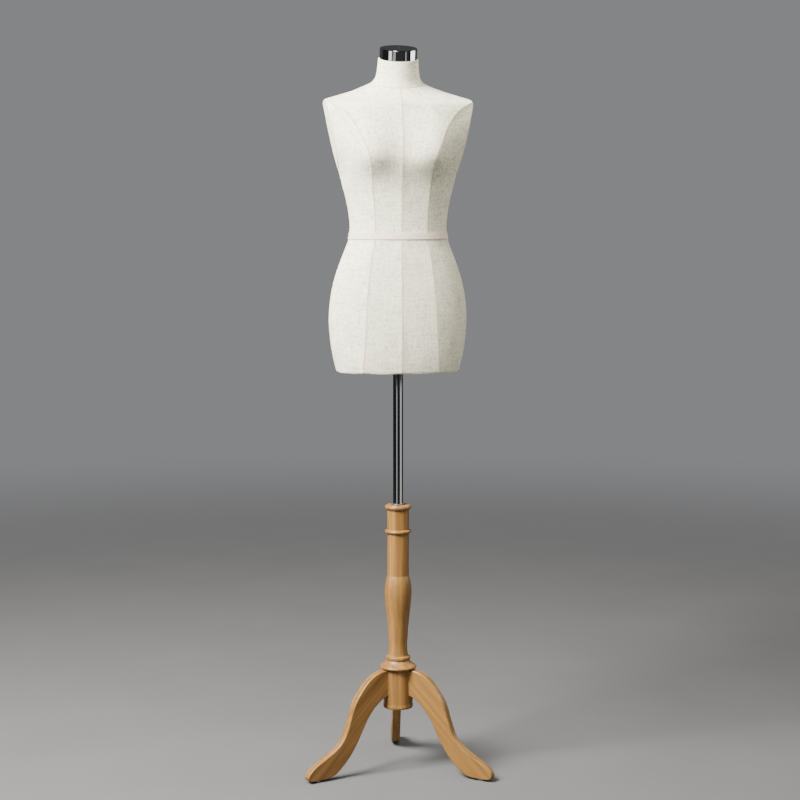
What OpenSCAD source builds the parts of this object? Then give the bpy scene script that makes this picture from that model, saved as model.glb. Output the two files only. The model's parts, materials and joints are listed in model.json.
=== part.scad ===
// Half-body dress form on a turned wooden tripod stand.
// Millimetres, +Z up. The form faces -Y and its left side is +X.
// The origin is on the floor, in the middle of the whole object's outline box;
// the column, the rod and the form share one upright axis, at axis_at.

/* [Stand] */
// Height of the top of the wooden column
column_top = 682; // [660:1:700]
// Turn of the three legs from the form's own front, in degrees
stand_turn = -4.5; // [-15:0.5:15]
// Radius of the hub that the legs are bolted to
hub_r = 37.4; // [35:0.1:40]
// Width of a leg's timber
leg_w = 22; // [18:1:26]
// Height of a glide, which is also the gap under a toe
glide_h = 5; // [4:0.5:8]

/* [Rod and lock] */
// Outside radius of the steel tube
rod_r = 12.5; // [11:0.5:14]
// Wall of the steel tube
rod_wall = 1.5; // [1:0.25:2.5]
// Height of the tube's lower end
rod_bottom = 506; // [480:1:520]
// Height of the tube's upper end
rod_top = 1076; // [1060:1:1100]
// Height of the lock screw
lock_z = 645; // [635:1:655]

/* [Form] */
// Height of the waist line
waist_z = 1360; // [1355:0.5:1365]
// Width of the waist tape
tape_w = 16; // [10:1:18]
// Thickness of the linen cover with its felt backing
cover_t = 2.4; // [1.5:0.1:3]
// Thickness of the moulded shell
shell_t = 3.4; // [2.5:0.1:4]
// Forward lean of the neck and of its chrome cap, in degrees
neck_lean = 14.2; // [10:0.1:18]
// Radius of the chrome cap
cap_r = 46.4; // [44:0.1:48]
// Height of the chrome cap
cap_h = 25; // [20:1:30]

/* [Hidden] */
$fn = 72;

// Where the upright axis stands, so that the outline box is centred on the origin
axis_at = [10, -56, 0];

// Colours
beech = [0.83, 0.62, 0.40];
linen = [0.90, 0.89, 0.85];
chrome = [0.80, 0.81, 0.83];
zinc = [0.62, 0.63, 0.65];
resin = [0.78, 0.76, 0.70];

// Clearances: a running fit, a light fit, the gap between sewn or stacked pieces
run_fit = 0.05;
light_fit = 0.1;
seam_gap = 0.1;

// Columns of a side panel and of a middle panel of the cover; the shell under them has the same
side_cols = 5;
middle_cols = 8;

// ---------- curves ----------

function clamp01(v) = min(1, max(0, v));
function smooth(v) = let (s = clamp01(v)) s * s * (3 - 2 * s);

// Index of the table row that z falls in
function row_at(tab, z, i = 0) =
    (i >= len(tab) - 2 || z < tab[i + 1][0]) ? i : row_at(tab, z, i + 1);
function rise(tab, c, i) = (tab[i + 1][c] - tab[i][c]) / (tab[i + 1][0] - tab[i][0]);
function step_of(tab, i) = tab[i + 1][0] - tab[i][0];
// Slope of column c at row i: the parabola through its neighbours
function slope(tab, c, i) =
    i == 0 ? rise(tab, c, 0)
    : i == len(tab) - 1 ? rise(tab, c, i - 1)
    : (rise(tab, c, i - 1) * step_of(tab, i) + rise(tab, c, i) * step_of(tab, i - 1))
        / (step_of(tab, i) + step_of(tab, i - 1));
// Smooth curve through column c of a table whose first column is the position
function along(tab, c, z) =
    let (
        i = row_at(tab, z),
        h = step_of(tab, i),
        s = clamp01((z - tab[i][0]) / h),
        s2 = s * s,
        s3 = s2 * s
    )
    tab[i][c] * (2 * s3 - 3 * s2 + 1) + slope(tab, c, i) * h * (s3 - 2 * s2 + s)
    + tab[i + 1][c] * (3 * s2 - 2 * s3) + slope(tab, c, i + 1) * h * (s3 - s2);

// Catmull-Rom curve through a list of points, n steps to a span
function curve(p, n) = [
    for (i = [0 : len(p) - 2], k = [0 : n - 1])
        let (
            s = k / n,
            p0 = p[max(i - 1, 0)],
            p1 = p[i],
            p2 = p[i + 1],
            p3 = p[min(i + 2, len(p) - 1)]
        )
        0.5 * (2 * p1 + (p2 - p0) * s + (2 * p0 - 5 * p1 + 4 * p2 - p3) * s * s
            + (3 * p1 - p0 - 3 * p2 + p3) * s * s * s),
    p[len(p) - 1]
];

// ---------- the form's surface ----------

// Cross-sections: height, half width, front y, back y, side y, roundness (2 is an ellipse)
SECTIONS = [
    [1016, 153, -92, 100, 4, 2.3],
    [1034, 157, -95, 104, 4, 2.3],
    [1071, 165.5, -99, 112, 4, 2.25],
    [1111, 170.7, -101, 118, 4, 2.2],
    [1148, 173, -101, 120, 4, 2.2],
    [1191, 170.7, -100, 117, 4, 2.2],
    [1231, 164.5, -98, 110, 3, 2.2],
    [1270, 154, -95, 100, 1, 2.15],
    [1310, 139.5, -91, 86, 0, 2.15],
    [1345, 126, -87, 76, -2, 2.1],
    [1375, 120.8, -85, 72, -3, 2.1],
    [1409, 122.8, -86, 74, -3, 2.1],
    [1449, 129.5, -90, 81, -2, 2.15],
    [1488, 139.5, -96, 89, 0, 2.2],
    [1528, 150, -102, 95, 0, 2.3],
    [1567, 168, -104, 98, 0, 2.35],
    [1607, 186, -102, 97, 0, 2.35],
    [1646, 197, -97, 94, 1, 2.3],
    [1675, 199, -91, 90, 2, 2.3],
    [1690, 192, -87, 87, 3, 2.2],
    [1698, 176, -83, 84, 4, 2.1],
    [1706, 149, -78, 81, 5, 2.1],
    [1715, 119.5, -70, 78, 6, 2.05],
    [1725, 92, -62, 75, 8, 2],
    [1737, 66, -52, 71, 10, 2],
    [1745, 58.5, -49, 65, 8, 2],
    [1765, 52.6, -49, 55, 3, 2],
    [1785, 50.5, -51, 47, -2, 2],
    [1797, 50, -53.5, 43.5, -5, 2]
];
hem_z = 1021;
neckline_z = 1737;
neck_top_z = 1796.5;
lean_from_z = 1672;

// A row of the surface leans forward about its side points, more and more towards the neck
function lean(z) = neck_lean * smooth((z - lean_from_z) / (neckline_z - lean_from_z));

// Bust, seat and shoulder blade, each a pair of soft swellings:
// half spacing, height, size, spread inwards, outwards, downwards, upwards
BUST = [87, 1558, 34, 50, 38, 33, 60];
SEAT = [70, 1122, 9, 50, 42, 48, 60];
BLADE = [78, 1605, 5, 45, 45, 50, 50];
function fall(u, under, over) = exp(-pow(u / (u < 0 ? under : over), 2) / 2);
function bell(b, x, z) =
    b[2] * fall(z - b[1], b[5], b[6]) * (fall(x - b[0], b[3], b[4]) + fall(-x - b[0], b[3], b[4]));

// Point at row z and angle t: 90 is centre front, 0 the left side, -90 centre back
function skin_at(z, t) =
    let (
        a = along(SECTIONS, 1, z),
        yc = along(SECTIONS, 4, z),
        e = 2 / along(SECTIONS, 5, z),
        x = a * sign(cos(t)) * pow(abs(cos(t)), e),
        w = pow(abs(sin(t)), e),
        front = yc - (yc - along(SECTIONS, 2, z)) * w - bell(BUST, x, z) * abs(sin(t)),
        back = yc + (along(SECTIONS, 3, z) - yc) * w
            + (bell(SEAT, x, z) + bell(BLADE, x, z)) * abs(sin(t)),
        y = sin(t) > 0 ? front : back
    )
    [x, y, z + (y - yc) * tan(lean(z))];
function unit(v) = v / norm(v);
function outward(z, t) =
    unit(cross(skin_at(z, t + 0.5) - skin_at(z, t - 0.5), skin_at(z - 0.5, t) - skin_at(z + 0.5, t)));
// The surface moved in by d along its normal
function layer(z, t, d) = skin_at(z, t) - outward(z, t) * d;

// The flat arm cuts: their plane leans out, its distance from the centre grows with height
plate_slant = 11.9;
plate_top_x = 183;
plate_top_z = 1690;
plate_low_z = 1450;
plate_t = 4;
function plate_x(z) = plate_top_x - (plate_top_z - z) * tan(plate_slant);

// Princess seams: height and distance from the centre line, front and back
PRINCESS_FRONT = [
    [1016, 96], [1084, 91], [1136, 88], [1188, 86], [1241, 81], [1307, 73], [1357, 64], [1409, 65],
    [1491, 72], [1531, 77], [1560, 84], [1595, 98], [1638, 119], [1666, 142], [1692, 182]
];
PRINCESS_BACK = [
    [1016, 92], [1148, 86], [1250, 76], [1357, 58], [1450, 66], [1560, 84], [1620, 106],
    [1660, 138], [1692, 182]
];
princess_top_z = 1692;

// Angle at which the row reaches distance x from the centre line
function angle_at(z, x) =
    let (q = x / along(SECTIONS, 1, z)) q >= 1 ? 0 : acos(pow(q, along(SECTIONS, 5, z) / 2));
// Angle at which a layer, d under the surface, meets the arm cut: found by halving, 0 if it doesn't
function past_cut(z, t, d) = let (p = layer(z, t, d)) p[0] > plate_x(p[2]);
function halve(z, d, face, lo, hi, n) =
    n == 0 ? (lo + hi) / 2
    : let (m = (lo + hi) / 2) past_cut(z, face * m, d) ? halve(z, d, face, m, hi, n - 1)
    : halve(z, d, face, lo, m, n - 1);
function side_line(z, d = 0, face = 1) =
    z < plate_low_z || !past_cut(z, 0, d) ? 0 : face * halve(z, d, face, 0, 60, 11);
// Angles of the other lines that the cover's panels are cut along
function princess_front(z) = max(side_line(z), angle_at(z, along(PRINCESS_FRONT, 1, z)));
function princess_back(z) = min(side_line(z, 0, -1), -angle_at(z, along(PRINCESS_BACK, 1, z)));

// Rows of the skirt, the bodice and the collar, closer where the surface turns fast
SKIRT_ROWS = [
    hem_z, 1027, 1038, 1062, 1090, 1120, 1150, 1182, 1214, 1246, 1278, 1304, 1328, 1346, waist_z
];
BODICE_ROWS = [
    waist_z, 1374, 1392, 1412, 1434, 1456, 1482, 1504, 1520, 1529, 1533, 1541, 1554, 1572, 1593, 1615, 1637,
    1657, 1674, 1685, princess_top_z, 1698, 1706, 1715, 1725, neckline_z
];
NECK_ROWS = [neckline_z, 1745, 1757, 1771, 1785, neck_top_z];
function rows_between(rows, lo, hi) = [
    lo,
    for (z = rows) if (z > lo + 1 && z < hi - 1) z,
    hi
];

// Two triangles of a quad a, b, c, d: split from a to c, or from b to d
function split(a, b, c, d, other) = other ? [[a, b, d], [b, c, d]] : [[a, b, c], [a, c, d]];
// Solid between an outer and an inner grid of points, rows by columns. The quads of the
// columns from turned[0] up to turned[1] are split the other way, as on a mirrored side
module slab(outer, inner, closed = false, turned = [0, 0]) {
    rows = len(outer);
    cols = len(outer[0]);
    half = rows * cols;
    last_col = closed ? cols - 1 : cols - 2;
    function at(k, r, c) = k * half + r * cols + c % cols;
    function other(c) = c >= turned[0] && c < turned[1];
    faces = concat(
        [for (r = [0 : rows - 2], c = [0 : last_col]) each concat(
            split(at(0, r, c), at(0, r + 1, c), at(0, r + 1, c + 1), at(0, r, c + 1), other(c)),
            split(at(1, r, c + 1), at(1, r + 1, c + 1), at(1, r + 1, c), at(1, r, c), !other(c))
        )],
        [for (c = [0 : last_col]) each [
            [at(0, 0, c), at(0, 0, c + 1), at(1, 0, c + 1)],
            [at(0, 0, c), at(1, 0, c + 1), at(1, 0, c)],
            [at(0, rows - 1, c), at(1, rows - 1, c + 1), at(0, rows - 1, c + 1)],
            [at(0, rows - 1, c), at(1, rows - 1, c), at(1, rows - 1, c + 1)]
        ]],
        closed ? [] : [for (r = [0 : rows - 2]) each [
            [at(0, r, 0), at(1, r, 0), at(1, r + 1, 0)],
            [at(0, r, 0), at(1, r + 1, 0), at(0, r + 1, 0)],
            [at(0, r, cols - 1), at(1, r + 1, cols - 1), at(1, r, cols - 1)],
            [at(0, r, cols - 1), at(0, r + 1, cols - 1), at(1, r + 1, cols - 1)]
        ]]
    );
    polyhedron(points = concat([for (r = outer) each r], [for (r = inner) each r]), faces = faces);
}

// Cover panel between two cutting lines, from row lo to row hi
module panel(rows, lo, hi, from_line, to_line, cols) {
    function points(z, d) =
        let (
            gap = seam_gap / 2 / along(SECTIONS, 1, z) * 180 / PI,
            a = from_line(z, d) - gap,
            b = to_line(z, d) + gap
        )
        [for (c = [0 : cols]) layer(z, a + (b - a) * c / cols, d)];
    zs = rows_between(rows, lo + seam_gap / 2, hi - seam_gap / 2);
    slab([for (z = zs) points(z, 0)], [for (z = zs) points(z, cover_t)]);
}

// Closed band round the form, between two depths under the surface
module band(zs, cols, from_d, to_d) {
    slab(
        [for (z = zs) [for (c = [0 : cols - 1]) layer(z, -360 * c / cols, from_d)]],
        [for (z = zs) [for (c = [0 : cols - 1]) layer(z, -360 * c / cols, to_d)]],
        closed = true
    );
}

// Half of the moulded shell: face is 1 for the front half and -1 for the back
module half_shell(face) {
    out_d = cover_t + seam_gap;
    in_d = out_d + shell_t;
    least = 0.15;
    zs = concat(
        [hem_z + 2.5],
        [for (z = SKIRT_ROWS) if (z > 1030) z],
        [for (z = BODICE_ROWS) if (z > waist_z) z],
        [for (z = NECK_ROWS) if (z > neckline_z) z]
    );
    // From the side's edge, under the princess seam, to the middle
    function angles(z, d) =
        let (
            gap = seam_gap / 2 / along(SECTIONS, 1, z) * 180 / PI,
            edge = side_line(z, d, face) + face * gap,
            line = face > 0 ? princess_front(z) : princess_back(z),
            seam = face * max(abs(line), abs(edge) + least * side_cols)
        )
        concat(
            [for (c = [0 : side_cols - 1]) edge + (seam - edge) * c / side_cols],
            [for (c = [0 : middle_cols]) seam + (face * 90 - seam) * c / middle_cols]
        );
    // Both sides of a row, from the right side's edge to the left side's
    function points(z, d) =
        let (half = [for (t = angles(z, d)) layer(z, t, d)])
        concat([for (p = half) [-p[0], p[1], p[2]]], [for (c = [len(half) - 2 : -1 : 0]) half[c]]);
    function flip(p) = [for (k = [len(p) - 1 : -1 : 0]) p[k]];
    middle = side_cols + middle_cols;
    slab(
        [for (z = zs) face > 0 ? flip(points(z, out_d)) : points(z, out_d)],
        [for (z = zs) face > 0 ? flip(points(z, in_d)) : points(z, in_d)],
        turned = face > 0 ? [0, middle] : [middle, 2 * middle]
    );
}

// ---------- placing ----------

module on_axis() {
    translate(axis_at) children();
}
module left() {
    on_axis() children();
}
module right() {
    on_axis() mirror([1, 0, 0]) children();
}
// Leg directions, measured from the front: left, right and back
LEG_TURNS = [60, -60, 180];
module at_leg(i) {
    on_axis() rotate(stand_turn + LEG_TURNS[i] - 90) children();
}
// Along the lock screw, from the axis out of the back of the column
module on_lock() {
    on_axis() translate([0, 0, lock_z]) rotate(stand_turn + 90) rotate([0, 90, 0]) children();
}
// Along the leaning neck: its origin is the middle of the cap's lower edge, +Z up the neck
module on_neck() {
    on_axis() translate([0, -5, 1797.5]) rotate([neck_lean, 0, 0]) children();
}

// ---------- stand ----------

bush_r = 15.5;
bore_bottom = 296;
cavity_r = 23;
cavity_top = 246;
hub_bottom = 158.5;
bolt_r = 4;
bolt_heights = [206, 236];
insert_r = 6.5;
insert_from = bush_r + 0.5;
insert_to = 28;
lock_r = 4;
// Half outline of the turned column: a foot bead, flange, neck, bulge, barrel, bead and top ring
function column_outline() = concat(
    [[0, hub_bottom], [hub_r - 4, hub_bottom]],
    curve([[hub_r - 3, hub_bottom], [hub_r, hub_bottom + 1.2], [hub_r + 1, hub_bottom + 5],
        [hub_r + 0.6, hub_bottom + 9], [hub_r, hub_bottom + 13]], 3),
    [[hub_r, 260], [hub_r + 1.2, 260.7]],
    curve([[hub_r + 2, 260.9], [43.5, 261.4], [46, 263.2], [46.6, 265.6], [45.6, 267.8]], 3),
    curve([[44, 269], [39.5, 271.6], [34.5, 275.4], [31, 279], [29.6, 281.5]], 3),
    curve([[28.4, 283], [30.4, 284.4], [31, 288], [30.4, 291.4], [27.4, 293]], 3),
    curve([[25.4, 294], [24.4, 300], [23.6, 311], [23.2, 325], [24, 339], [25.2, 357], [27.4, 384],
        [30.2, 408], [32.6, 430], [33.9, 450], [33.8, 463], [32.8, 476], [31, 487], [28.8, 496]], 4),
    [[27.3, 501], [27.4, 607], [27.6, 609]],
    curve([[28.4, 609.6], [32, 611.2], [33.2, 614.2], [32, 617.2], [28.4, 618.8]], 3),
    [[27.6, 619.4], [27.8, 669.6]],
    curve([[28.6, 670.6], [31.6, 671.8], [33.3, 675.4], [32.8, 679], [30.8, 681.4],
        [28.4, column_top]], 3),
    [[0, column_top]]
);

module column() {
    color(beech) difference() {
        on_axis() rotate_extrude() polygon(column_outline());
        on_axis() translate([0, 0, bore_bottom]) cylinder(r = bush_r, h = column_top);
        on_axis() translate([0, 0, hub_bottom - 1]) cylinder(r = cavity_r, h = cavity_top - hub_bottom + 1);
        for (i = [0 : 2], z = bolt_heights)
            at_leg(i) translate([0, 0, z]) rotate([0, 90, 0]) cylinder(r = bolt_r + light_fit, h = 60);
        on_lock() cylinder(r = insert_r, h = 60);
    }
}

// Guide sleeve in the top of the column, with a thin collar on the column's top face
module rod_bush() {
    collar_t = 1.5;
    length = 110;
    color("dimgray") difference() {
        on_axis() union() {
            translate([0, 0, column_top - length]) cylinder(r = bush_r, h = length);
            translate([0, 0, column_top]) cylinder(r = bush_r + 2, h = collar_t);
        }
        on_axis() translate([0, 0, column_top - length - 1]) cylinder(r = rod_r + run_fit, h = length + 10);
        on_lock() cylinder(r = lock_r + 0.5, h = 60);
    }
}

// Threaded insert that the lock screw turns in
module lock_insert() {
    length = insert_to - insert_from;
    flange = 1.5;
    color(zinc) on_lock() translate([0, 0, insert_from]) difference() {
        union() {
            cylinder(r = insert_r, h = length);
            translate([0, 0, length]) cylinder(r = 9, h = flange);
        }
        translate([0, 0, -1]) cylinder(r = lock_r + run_fit, h = length + flange + 2);
    }
}

// Side outline of a leg: distance out from the axis, height
LEG_TOP_LINE = [
    [30, 259.5], [50, 259], [69, 254], [91, 240], [112, 217], [131, 189], [143, 158], [153, 127],
    [165, 101], [184, 80], [214, 60], [245, 43], [262, 29], [269, 17], [266, 8], [256, glide_h]
];
LEG_UNDER_LINE = [
    [218, glide_h], [201, 8.5], [184, 17], [163, 36], [144, 58], [126, 86], [110, 115],
    [92, 147], [71, 172], [48, 189], [30, 195]
];
module leg_body(i) {
    color(beech) difference() {
        at_leg(i) translate([0, leg_w / 2, 0]) rotate([90, 0, 0])
            linear_extrude(leg_w) polygon(concat(curve(LEG_TOP_LINE, 3), curve(LEG_UNDER_LINE, 3)));
        on_axis() translate([0, 0, hub_bottom]) cylinder(r = hub_r, h = bore_bottom - hub_bottom);
        for (z = bolt_heights)
            at_leg(i) translate([0, 0, z]) rotate([0, 90, 0]) cylinder(r = bolt_r + light_fit, h = 78);
        at_leg(i) translate([glide_at, 0, 0]) cylinder(r = pin_r, h = 22);
    }
}
module leg_left() {
    leg_body(0);
}
module leg_right() {
    leg_body(1);
}
module leg_back() {
    leg_body(2);
}

// Two hanger bolts to a leg, from inside the hub, with a flat washer and a hexagon nut each
washer_t = 1.5;
nut_t = 5;
flat_at = cavity_r - 3.5;
module at_bolts() {
    for (i = [0 : 2], z = bolt_heights)
        at_leg(i) translate([0, 0, z]) rotate([0, 90, 0]) children();
}
module hanger_bolts() {
    color(zinc) at_bolts() translate([0, 0, flat_at - nut_t - 1]) cylinder(r = bolt_r, h = 62);
}
module hanger_washers() {
    color(zinc) at_bolts() translate([0, 0, flat_at]) difference() {
        cylinder(r = 7, h = washer_t);
        translate([0, 0, -1]) cylinder(r = bolt_r + light_fit, h = 9);
    }
}
module hanger_nuts() {
    color(zinc) at_bolts() translate([0, 0, flat_at - nut_t]) difference() {
        cylinder(r = 7, h = nut_t, $fn = 6);
        translate([0, 0, -1]) cylinder(r = bolt_r + light_fit, h = 9);
    }
}

// Domed glide under each toe, on a pin driven into the wood
glide_at = 238;
glide_r = 10;
glide_edge = 4;
pin_r = 2;
module foot_glides() {
    color(chrome) for (i = [0 : 2]) at_leg(i) translate([glide_at, 0, 0]) difference() {
        rotate_extrude() polygon([
            [0, 0], [glide_r - glide_edge, 0],
            for (q = [0 : 15 : 90])
                [glide_r - glide_edge * (1 - sin(q)), (glide_h - 0.1) * (1 - cos(q))],
            [0, glide_h - 0.1]
        ]);
        translate([0, 0, 1.5]) cylinder(r = pin_r, h = glide_h);
    }
}
module glide_pins() {
    color(zinc) for (i = [0 : 2]) at_leg(i) translate([glide_at, 0, 1.5]) cylinder(r = pin_r, h = 18);
}

// ---------- lock ----------

pad_t = 3;
pad_gap = 0.3;
stem_from = rod_r + pad_gap + pad_t;
knob_from = 34.5;
// Nylon pad on the screw's tip, which bears on the rod
module lock_pad() {
    color("white") on_lock() translate([0, 0, rod_r + pad_gap]) cylinder(r = 3.4, h = pad_t);
}
module lock_screw() {
    color(zinc) on_lock() translate([0, 0, stem_from]) cylinder(r = lock_r, h = knob_from + 8 - stem_from);
}
// Five-lobed knob moulded on the screw
module lock_knob() {
    lobes = 5;
    color("#202022") on_lock() difference() {
        union() {
            translate([0, 0, knob_from - 4]) cylinder(r = 8, h = 4.5);
            translate([0, 0, knob_from]) linear_extrude(14) union() {
                circle(r = 14);
                for (k = [0 : lobes - 1]) rotate(360 / lobes * k) translate([12.5, 0]) circle(r = 6.5);
            }
        }
        translate([0, 0, knob_from - 5]) cylinder(r = lock_r, h = 13);
    }
}

// ---------- rod ----------

plug_t = 3;
plug_in = 15;
module rod() {
    color(chrome) on_axis() translate([0, 0, rod_bottom]) difference() {
        cylinder(r = rod_r, h = rod_top - rod_bottom);
        translate([0, 0, -1]) cylinder(r = rod_r - rod_wall, h = rod_top - rod_bottom + 2);
    }
}
module plug() {
    cylinder(r = rod_r - 0.5, h = plug_t);
    translate([0, 0, plug_t]) cylinder(r = rod_r - rod_wall - light_fit, h = plug_in);
}
module rod_end_plug() {
    color("black") on_axis() translate([0, 0, rod_bottom - plug_t]) plug();
}
module rod_top_plug() {
    color("black") on_axis() translate([0, 0, rod_top + plug_t]) mirror([0, 0, 1]) plug();
}

// ---------- form, inside ----------

module shell_front() {
    color(resin) on_axis() half_shell(1);
}
module shell_back() {
    color(resin) on_axis() half_shell(-1);
}

board_t = 18;
board_z = hem_z + 2.6;
socket_r = 16;
// Outline of the form at row z, a depth d inside its surface
module outline_at(z, d) {
    polygon([for (t = [0 : 6 : 354]) let (p = layer(z, t, d)) [p[0], p[1]]]);
}
module base_board() {
    color(beech) on_axis() translate([0, 0, board_z]) difference() {
        linear_extrude(board_t) outline_at(hem_z + 1, cover_t + shell_t + 0.6);
        translate([0, 0, -1]) cylinder(r = socket_r + light_fit, h = board_t + 2);
        for (k = [0 : 2])
            rotate(120 * k) translate([flange_screw_at, 0, -1]) cylinder(r = flange_screw_r, h = 14);
    }
}
// Linen sheet that closes the underside, round the socket
module bottom_cover() {
    cloth_t = 1.4;
    color(linen) on_axis() translate([0, 0, board_z - cloth_t - 0.1]) difference() {
        linear_extrude(cloth_t) outline_at(hem_z + 1, cover_t + 0.5);
        translate([0, 0, -1]) cylinder(r = flange_r + 0.3, h = 5);
    }
}

// Steel socket on the underside of the board; the tube's top end bears in it
flange_r = 46;
flange_t = 3;
flange_screw_at = 34;
flange_screw_r = 2.5;
module socket_flange() {
    stop_z = rod_top + plug_t + 0.1;
    color(zinc) on_axis() difference() {
        union() {
            translate([0, 0, board_z - flange_t]) cylinder(r = flange_r, h = flange_t);
            translate([0, 0, board_z - flange_t]) cylinder(r = socket_r, h = stop_z + 4 - board_z + flange_t);
        }
        translate([0, 0, board_z - flange_t - 1]) cylinder(r = rod_r + run_fit, h = stop_z - board_z + flange_t + 1);
        for (k = [0 : 2])
            rotate(120 * k) translate([flange_screw_at, 0, board_z - flange_t - 1])
                cylinder(r = flange_screw_r + light_fit, h = 9);
    }
}
module flange_screws() {
    color(zinc) on_axis() for (k = [0 : 2])
        rotate(120 * k) translate([flange_screw_at, 0, board_z - flange_t - 2]) {
            cylinder(r = flange_screw_r, h = 14);
            cylinder(r = 4.5, h = 2);
        }
}

// Wooden block in the neck
module neck_block() {
    color(beech) on_neck() difference() {
        translate([0, 0, -48]) cylinder(r = 42, h = 48 + cap_h - 3);
        translate([0, 0, cap_h - 30]) cylinder(r = cap_screw_r, h = 30);
    }
}

// ---------- form, outside ----------

cap_wall = 1.4;
cap_screw_r = 2.5;
module neck_cap() {
    edge = 1.2;
    color(chrome) on_neck() difference() {
        rotate_extrude() polygon([
            [0, 0], [cap_r, 0], [cap_r, cap_h - edge], [cap_r - edge, cap_h], [0, cap_h]
        ]);
        translate([0, 0, -1]) cylinder(r = cap_r - cap_wall, h = cap_h - 2 + 1);
        translate([0, 0, cap_h - 3]) cylinder(r = cap_screw_r + light_fit, h = 4);
        translate([0, 0, cap_h - 1.5]) cylinder(r = 5.2, h = 4);
    }
}
module cap_screw() {
    color(chrome) on_neck() union() {
        translate([0, 0, cap_h - 28]) cylinder(r = cap_screw_r, h = 27);
        translate([0, 0, cap_h - 1.5]) cylinder(r = 5, h = 1.4);
    }
}

module neck_cover() {
    zs = rows_between(NECK_ROWS, neckline_z + seam_gap / 2, neck_top_z);
    color(linen) on_axis() band(zs, 4 * middle_cols, 0, cover_t);
}
module waist_tape() {
    tape_t = 0.9;
    stand_off = 0.35;
    zs = [waist_z - tape_w / 2, waist_z, waist_z + tape_w / 2];
    color([0.89, 0.86, 0.82]) on_axis() band(zs, 96, -tape_t - stand_off, -stand_off);
}

// Flat board that closes an arm cut, let in between the edges of the shell's two halves
module arm_plate() {
    d = cover_t + shell_t + 0.4;
    zs = concat(
        [for (z = [1526 : 2 : 1550]) if (past_cut(z, 0, d)) z],
        [1556, 1564, for (z = [1576 : 14 : 1674]) z],
        [for (z = [1680 : 2 : 1700]) if (past_cut(z, 0, d)) z]
    );
    function corner(z, face) =
        let (p = layer(z, side_line(z, d, face), d)) [p[1], (p[2] - plate_top_z) / cos(plate_slant)];
    translate([plate_top_x, 0, plate_top_z]) rotate([0, plate_slant, 0]) rotate([90, 0, 90])
        translate([0, 0, -plate_t]) linear_extrude(plate_t) polygon(concat(
            [for (z = zs) corner(z, 1)],
            [for (k = [len(zs) - 1 : -1 : 0]) corner(zs[k], -1)]
        ));
}
module arm_plate_left() {
    color(linen) left() arm_plate();
}
module arm_plate_right() {
    color(linen) right() arm_plate();
}

// The cover's cutting lines, as angles from the front round the left side to the back
centre_front = function (z, d) 90;
front_seam = function (z, d) princess_front(z);
front_side = function (z, d) side_line(z, d);
back_side = function (z, d) side_line(z, d, -1);
back_seam = function (z, d) princess_back(z);
centre_back = function (z, d) -90;
// Past the arm cut, the side line is the shoulder seam
bodice_front_edge = function (z, d) z > princess_top_z ? side_line(z, d) : princess_front(z);
bodice_back_edge = function (z, d) z > princess_top_z ? side_line(z, d, -1) : princess_back(z);

// The two middle panels of the bodice run on to the neckline
module bodice_front() {
    color(linen) panel(BODICE_ROWS, waist_z, neckline_z, centre_front, bodice_front_edge, middle_cols);
}
module bodice_side_front() {
    color(linen) panel(BODICE_ROWS, waist_z, princess_top_z, front_seam, front_side, side_cols);
}
module bodice_side_back() {
    color(linen) panel(BODICE_ROWS, waist_z, princess_top_z, back_side, back_seam, side_cols);
}
module bodice_back() {
    color(linen) panel(BODICE_ROWS, waist_z, neckline_z, bodice_back_edge, centre_back, middle_cols);
}
module skirt_front() {
    color(linen) panel(SKIRT_ROWS, hem_z, waist_z, centre_front, front_seam, middle_cols);
}
module skirt_side_front() {
    color(linen) panel(SKIRT_ROWS, hem_z, waist_z, front_seam, front_side, side_cols);
}
module skirt_side_back() {
    color(linen) panel(SKIRT_ROWS, hem_z, waist_z, back_side, back_seam, side_cols);
}
module skirt_back() {
    color(linen) panel(SKIRT_ROWS, hem_z, waist_z, back_seam, centre_back, middle_cols);
}

module bodice_front_left() {
    left() bodice_front();
}
module bodice_front_right() {
    right() bodice_front();
}
module bodice_side_front_left() {
    left() bodice_side_front();
}
module bodice_side_front_right() {
    right() bodice_side_front();
}
module bodice_side_back_left() {
    left() bodice_side_back();
}
module bodice_side_back_right() {
    right() bodice_side_back();
}
module bodice_back_left() {
    left() bodice_back();
}
module bodice_back_right() {
    right() bodice_back();
}
module skirt_front_left() {
    left() skirt_front();
}
module skirt_front_right() {
    right() skirt_front();
}
module skirt_side_front_left() {
    left() skirt_side_front();
}
module skirt_side_front_right() {
    right() skirt_side_front();
}
module skirt_side_back_left() {
    left() skirt_side_back();
}
module skirt_side_back_right() {
    right() skirt_side_back();
}
module skirt_back_left() {
    left() skirt_back();
}
module skirt_back_right() {
    right() skirt_back();
}

column();
rod_bush();
lock_insert();
leg_left();
leg_right();
leg_back();
hanger_bolts();
hanger_washers();
hanger_nuts();
foot_glides();
glide_pins();
lock_pad();
lock_screw();
lock_knob();
rod();
rod_end_plug();
rod_top_plug();
shell_front();
shell_back();
base_board();
bottom_cover();
socket_flange();
flange_screws();
neck_block();
neck_cap();
cap_screw();
neck_cover();
waist_tape();
arm_plate_left();
arm_plate_right();
bodice_front_left();
bodice_front_right();
bodice_side_front_left();
bodice_side_front_right();
bodice_side_back_left();
bodice_side_back_right();
bodice_back_left();
bodice_back_right();
skirt_front_left();
skirt_front_right();
skirt_side_front_left();
skirt_side_front_right();
skirt_side_back_left();
skirt_side_back_right();
skirt_back_left();
skirt_back_right();
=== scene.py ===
"""Dress form on a turned wooden tripod stand: the looks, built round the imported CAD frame."""
import functools
import json
import math

import bpy
import numpy as np
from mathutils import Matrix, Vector, noise


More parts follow.
